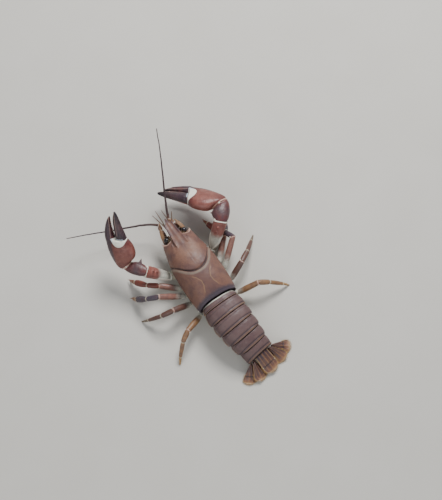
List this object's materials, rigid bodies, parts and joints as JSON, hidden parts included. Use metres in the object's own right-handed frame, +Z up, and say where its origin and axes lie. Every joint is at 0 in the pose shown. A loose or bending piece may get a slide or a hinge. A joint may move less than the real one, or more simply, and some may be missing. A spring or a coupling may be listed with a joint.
{
  "type": "signal crayfish",
  "caption": "Life-size still model of a signal crayfish resting on the floor, claws held forward and the tail turned aside.",
  "frame": {"origin": "centre of the bounding box's base, on the floor under the animal", "axes": "+Z up, shortest; +Y towards the head, longest; +X to the animal's right"},
  "size_m": [0.1042, 0.166, 0.0436],
  "materials": {
    "carapace_shell": "satin, fine pits, brown with yellowish mottles and a dark groove",
    "abdomen_shell": "satin, brown with dark seams",
    "tail_fan_shell": "satin, thin blades with paler fringe",
    "underside_shell": "pale tan, satin",
    "claw_shell": "satin brick red with fine pale speckles",
    "claw_finger_shell": "satin dark purple-brown",
    "arm_shell": "satin dark red-brown with pale rims",
    "leg_shell": "satin pinkish orange-brown",
    "feeler": "brown, finely ringed",
    "antennal_scale": "satin yellow-orange",
    "eye": "glossy black"
  },
  "bodies": {
    "root": {"abdomen_1": "abdomen_shell", "abdomen_2": "abdomen_shell", "abdomen_3": "abdomen_shell", "abdomen_4": "abdomen_shell", "abdomen_5": "abdomen_shell", "abdomen_6": "abdomen_shell", "antenna_L": "feeler", "antenna_R": "feeler", "antenna_base_L": "feeler", "antenna_base_R": "feeler", "antennal_scale_L": "antennal_scale", "antennal_scale_R": "antennal_scale", "antennule_L": "feeler", "antennule_R": "feeler", "carapace": "carapace_shell", "claw_carpus_L": "arm_shell", "claw_carpus_R": "arm_shell", "claw_finger_L": "claw_finger_shell", "claw_finger_R": "claw_finger_shell", "claw_hip_L": "arm_shell", "claw_hip_R": "arm_shell", "claw_merus_L": "arm_shell", "claw_merus_R": "arm_shell", "claw_palm_L": "claw_shell", "claw_palm_R": "claw_shell", "eye_L": "eye", "eye_R": "eye", "leg2_lower_L": "leg_shell", "leg2_lower_R": "leg_shell", "leg2_upper_L": "leg_shell", "leg2_upper_R": "leg_shell", "leg3_lower_L": "leg_shell", "leg3_lower_R": "leg_shell", "leg3_upper_L": "leg_shell", "leg3_upper_R": "leg_shell", "leg4_lower_L": "leg_shell", "leg4_lower_R": "leg_shell", "leg4_upper_L": "leg_shell", "leg4_upper_R": "leg_shell", "leg5_lower_L": "leg_shell", "leg5_lower_R": "leg_shell", "leg5_upper_L": "leg_shell", "leg5_upper_R": "leg_shell", "maxilliped_L": "leg_shell", "maxilliped_R": "leg_shell", "telson": "tail_fan_shell", "underside": "underside_shell", "uropod_inner_L": "tail_fan_shell", "uropod_inner_R": "tail_fan_shell", "uropod_outer_L": "tail_fan_shell", "uropod_outer_R": "tail_fan_shell"}
  },
  "joints": []
}
